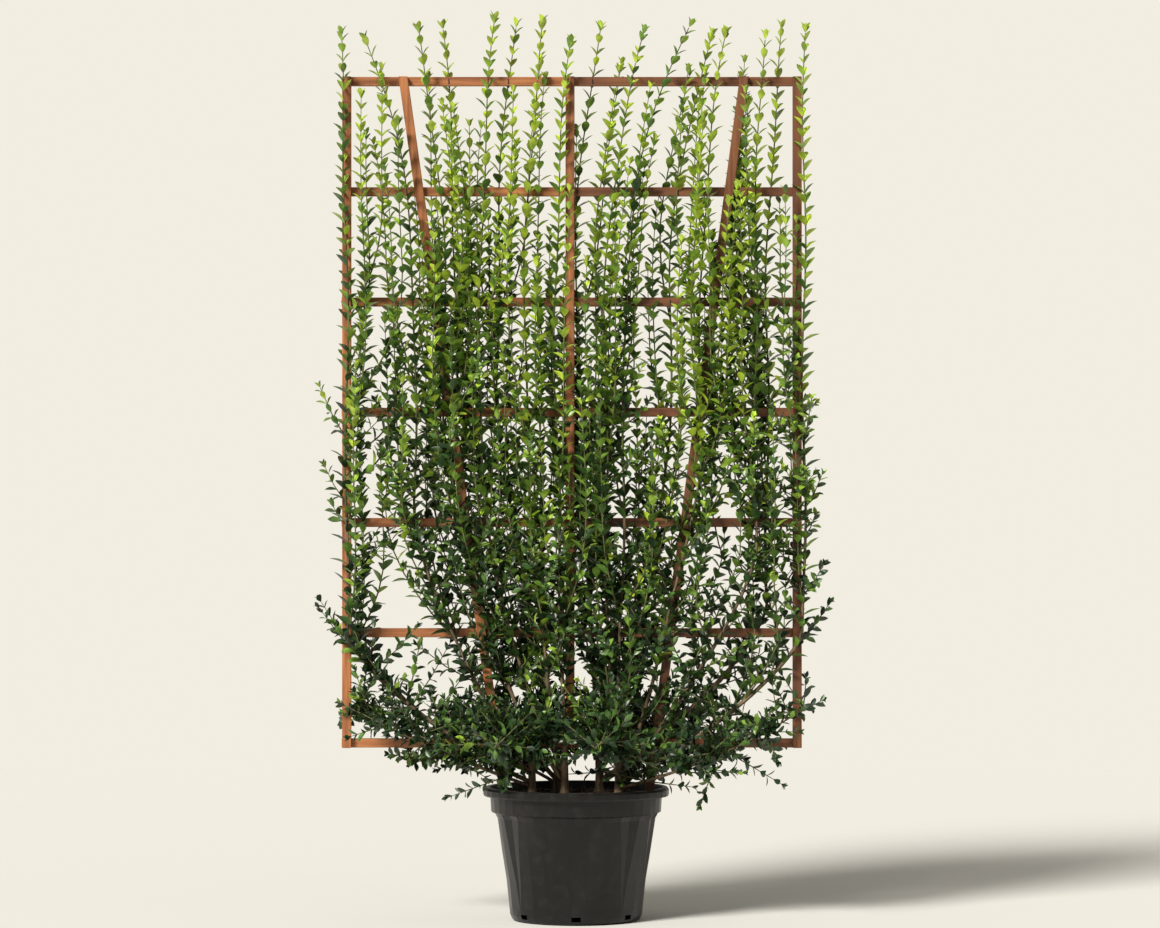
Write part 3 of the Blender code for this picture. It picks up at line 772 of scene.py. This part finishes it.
# %% Leaf shape
STATIONS = np.array([0.0, 0.14, 0.36, 0.62, 0.84, 1.0])
HALF_WIDTHS = np.array([0.015, 0.105, 0.215, 0.250, 0.155, 0.004])
SIDES = np.array([-1.0, 0.0, 1.0])
FOLD = 0.38
CURL = 0.16


def leaf_arrays(rows):
    """The points and faces of all these leaves. The axes are the leaf, station, side and coordinate."""
    data = np.array(rows)[:, None, None, :]
    root, along, up, length = data[..., 0:3], data[..., 3:6], data[..., 6:9], data[..., 9:10]
    across = np.cross(along, up)
    s = STATIONS[None, :, None, None]
    w = HALF_WIDTHS[None, :, None, None]
    side = SIDES[None, None, :, None]
    middle = root + along * s * length
    spread = across * (w * side) * length
    lift = up * (FOLD * w * np.abs(side) - CURL * s * s) * length
    points = (middle + spread + lift).reshape(-1, 3)
    corners = [3 * station + half for station in range(len(STATIONS) - 1) for half in range(2)]
    one_leaf = np.array([(a, a + 1, a + 4, a + 3) for a in corners])
    first_points = np.arange(len(rows)) * len(STATIONS) * len(SIDES)
    return points, (one_leaf[None] + first_points[:, None, None]).reshape(-1, 4)


print("a leaf has", 2 * (len(STATIONS) - 1), "faces")

# %% [markdown]
# ## Plant pieces
# Each kind, such as a tint of leaf or the old wood, becomes one mesh, because the export drops instances and
# thousands of small objects are slow. The pieces stand for the frame's stems, boughs and masses, which are
# hidden.

# %% A mesh as a piece of the plant


def mesh_piece(name, points, faces, surface, smooth=True):
    mesh = bpy.data.meshes.new(name)
    mesh.from_pydata([tuple(point) for point in points], [], [tuple(face) for face in faces])
    mesh.update()
    mesh.materials.append(surface)
    if smooth:
        mesh.shade_smooth()
    piece = bpy.data.objects.new(name, mesh)
    bpy.context.scene.collection.objects.link(piece)
    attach(piece, "root")
    return piece


print("pieces can be made")

# %% Leaves, wood and shoots as pieces
# A tint with more leaves than this is split, so that each mesh stays under 200,000 triangles.
PIECE_LEAVES = 9000
for tint, rows in leaves.items():
    for part, first in enumerate(range(0, len(rows), PIECE_LEAVES)):
        points, faces = leaf_arrays(rows[first : first + PIECE_LEAVES])
        piece = mesh_piece(f"{tint}_{part + 1}", points, faces, leaf_surfaces[tint])
    print(tint, len(rows), "leaves")
wood_piece = mesh_piece("stems_and_boughs", wood.points, wood.faces, old_bark)
shoot_piece = mesh_piece("green_shoots", green.points, green.faces, green_bark)
limb_nodes = [name for name in node_names if name.startswith(("stem_", "bough_"))]
mass_nodes = [name for name in node_names if name.startswith(("leaves_", "low_"))]
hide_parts(*limb_nodes)
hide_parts(*mass_nodes)
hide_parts(*mass_nodes)
print("replaced", len(limb_nodes), "limbs and", len(mass_nodes), "masses")

# %% [markdown]
# ## Compost
# The container is filled with loose compost, and chips of bark lie on it. A flat disc with a bump would look
# smooth at its edge, so rings of points with a seeded height make it lumpy. It stays level near the wall.

# %% The compost's surface
SOIL_RADIUS = 0.2215
RINGS = 22
AROUND = 72
LEVEL_RINGS = 3
SWELL = 0.004
SWELLS_ROUND = 3
SWELL_PITCH = 31
LUMPS = (-0.003, 0.004)
soil_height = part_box("potting_soil")[1][2]
soil_points = [(0.0, 0.0, soil_height)]
lump = random.Random(11)
for ring in range(1, RINGS + 1):
    r = SOIL_RADIUS * ring / RINGS
    loose = min(1.0, (RINGS - ring) / LEVEL_RINGS)
    for k in range(AROUND):
        angle = 2 * math.pi * k / AROUND
        swell = SWELL * math.sin(SWELL_PITCH * r + SWELLS_ROUND * angle)
        height = soil_height + loose * (swell + lump.uniform(*LUMPS))
        soil_points.append((r * math.cos(angle), r * math.sin(angle), height))
soil_faces = [(0, 1 + k, 1 + (k + 1) % AROUND) for k in range(AROUND)]
for ring in range(RINGS - 1):
    for k in range(AROUND):
        a = 1 + ring * AROUND + k
        b = 1 + ring * AROUND + (k + 1) % AROUND
        soil_faces.append((a, a + AROUND, b + AROUND, b))
print("faces of the surface:", len(soil_faces))

# %% Chips of bark
CHIPS = 420
CHIP_SPREAD = 0.96
CHIP_RISE = (0.001, 0.005)
CHIP_TURN = 6.3
CHIP_TILT = 0.5
CHIP_HALF_SIZES = ((0.004, 0.011), (0.002, 0.006), (0.001, 0.002))
CHIP_TOP = [(-0.8, -1, 1), (1, -0.6, 1), (0.7, 0.9, 1), (-0.9, 0.7, 1)]
CHIP_CORNERS = [(-1, -1, -1), (1, -0.7, -1), (0.8, 1, -1), (-1, 0.8, -1), *CHIP_TOP]
CHIP_FACES = [(3, 2, 1, 0), (4, 5, 6, 7), (0, 1, 5, 4), (1, 2, 6, 5), (2, 3, 7, 6), (3, 0, 4, 7)]
for chip in range(CHIPS):
    r = SOIL_RADIUS * CHIP_SPREAD * math.sqrt(lump.random())
    angle = lump.uniform(0, 2 * math.pi)
    centre = Vector((r * math.cos(angle), r * math.sin(angle), soil_height + lump.uniform(*CHIP_RISE)))
    turn = Matrix.Rotation(lump.uniform(0, CHIP_TURN), 3, "Z")
    turn = turn @ Matrix.Rotation(lump.uniform(-CHIP_TILT, CHIP_TILT), 3, "X")
    half_size = Vector([lump.uniform(*ends) for ends in CHIP_HALF_SIZES])
    first = len(soil_points)
    for corner in CHIP_CORNERS:
        place = Vector([part * half for part, half in zip(corner, half_size)])
        soil_points.append(centre + turn @ place)
    for face in CHIP_FACES:
        soil_faces.append([first + k for k in face])
soil_piece = mesh_piece("compost_and_chips", soil_points, soil_faces, compost, smooth=False)
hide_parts("potting_soil")
print("faces with the chips:", len(soil_faces))

# %% [markdown]
# ## Ties
# The canes are held to the rails by thin dark ties. A torus would be rounder than the real loop, which is
# pulled tight over a square batten. So each tie is a tube on nine points round a cane and a rail. About half
# of the crossings have one.

# %% Ties at the crossings
TIED_RAILS = range(2, 8)
UNTIED_SHARE = 0.45
TIE_RADIUS = 0.0011
CANE_CLEARANCE = 0.007
BATTEN_CLEARANCE = 0.0025
NEAREST_FRONT = -0.003
FRONT_ROUND = 0.006
BACK_ROUND = 0.004
TIE_MIDDLE = 0.008
SHOULDER = 0.012
HALF_HEIGHT = 0.015
TIE_OPENING = 0.001
RAIL_END = 0.01
tie_finish = Finish("tie_plastic", 0.6)
tie_colours = (0.010, 0.010, 0.009), (0.030, 0.026, 0.020)
tie_finish.feed("Base Color", tie_finish.blend(*tie_colours, tie_finish.noise(scale=80.0, detail=3.0)))
ties = Tubes(6)
tie_rng = random.Random(3)
for cane in canes:
    for rail in TIED_RAILS:
        if tie_rng.random() < UNTIED_SHARE:
            continue
        low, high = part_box(f"rail_{rail}")
        z = 0.5 * (low[2] + high[2])
        x, y, _ = cane.point(z)
        if not low[0] + RAIL_END < x < high[0] - RAIL_END:
            continue
        front = min(y - CANE_CLEARANCE, NEAREST_FRONT)
        back = max(y + CANE_CLEARANCE, high[1] + BATTEN_CLEARANCE)
        over = [(front + FRONT_ROUND, SHOULDER), (TIE_MIDDLE, HALF_HEIGHT), (back - BACK_ROUND, SHOULDER)]
        under = [(depth, -rise) for depth, rise in reversed(over)]
        outline = [(front, 0.0), *over, (back, 0.0), *under, (front, -TIE_OPENING)]
        loop = [Vector((x, depth, z + rise)) for depth, rise in outline]
        ties.add(loop, [TIE_RADIUS] * len(loop))
tie_piece = mesh_piece("ties", ties.points, ties.faces, tie_finish.material)
print("faces of the ties:", len(ties.faces))

# %% [markdown]
# ## Floor and surround
# The plant stands on a plain cream floor in a cream surround. Two different creams would show a line where
# they meet, so the floor's colour is set to look like the surround under this light. The surround is seen at
# full strength and lights the plant with less, so that the leaves keep their shadows.

# %% A floor and a surround of one cream
CREAM = (0.888, 0.847, 0.753, 1.0)
FILL_STRENGTH = 0.35
FLOOR_RADIUS = 6.0
FLOOR_PLACE = (0.0, 0.0, -0.0005)
scene = bpy.context.scene
scene.view_settings.view_transform = "Standard"
bpy.ops.mesh.primitive_circle_add(
    vertices=96, radius=FLOOR_RADIUS, fill_type="NGON", location=FLOOR_PLACE
)
floor = bpy.context.object
floor.name = "floor"
floor_finish = Finish("floor_cream", 1.0)
floor_finish.set("Specular IOR Level", 0.0)
floor_colours = (0.788, 0.778, 0.754), (0.794, 0.784, 0.760)
floor_finish.feed("Base Color", floor_finish.blend(*floor_colours, floor_finish.noise(scale=2.0, detail=3.0)))
floor.data.materials.append(floor_finish.material)

world = bpy.data.worlds.new("surround")
world.use_nodes = True
scene.world = world
surround = Shading(world.node_tree)
seen_node = surround.tree.nodes["Background"]
seen_node.inputs["Color"].default_value = CREAM
seen = Value(surround, seen_node.outputs[0])
fill = surround.node("ShaderNodeBackground", {}, {"Color": CREAM, "Strength": FILL_STRENGTH})
is_seen = surround.node("ShaderNodeLightPath", {}, {}, output="Is Camera Ray")
chosen = surround.node("ShaderNodeMixShader", {}, {0: is_seen, 1: fill, 2: seen})
surround.tree.links.new(chosen.socket, surround.tree.nodes["World Output"].inputs["Surface"])
print("floor and surround are made")

# %% [markdown]
# ## Light and camera
# The key light comes from the upper left front and is large, for soft shadows. The camera looks level from
# far off, so the trellis stays square. Its lens follows from the distance and the scale of the picture.

# %% The key light and the camera
KEY_DIRECTION = Vector((0.62, 0.80, -0.72))
KEY_STRENGTH = 4.4
KEY_SPREAD = math.radians(18.0)
KEY_COLOUR = (1.0, 0.97, 0.90)
key = bpy.data.lights.new("key", "SUN")
key.energy = KEY_STRENGTH
key.angle = KEY_SPREAD
key.color = KEY_COLOUR
key_object = bpy.data.objects.new("key", key)
key_object.rotation_euler = KEY_DIRECTION.to_track_quat("-Z", "Y").to_euler()
scene.collection.objects.link(key_object)

DISTANCE = 11.5
EYE_ACROSS = 0.010
EYE_HEIGHT = 1.188
METRES_PER_PIXEL = 0.002609
IMAGE_WIDTH = 1160
SENSOR_WIDTH = 36.0
camera = bpy.data.cameras.new("camera")
camera.sensor_width = SENSOR_WIDTH
camera.lens = SENSOR_WIDTH * DISTANCE / (IMAGE_WIDTH * METRES_PER_PIXEL)
camera_object = bpy.data.objects.new("camera", camera)
camera_object.location = (EYE_ACROSS, -DISTANCE, EYE_HEIGHT)
camera_object.rotation_euler = (math.pi / 2, 0.0, 0.0)
scene.collection.objects.link(camera_object)
scene.camera = camera_object
print("lens:", round(camera.lens, 1), "mm")
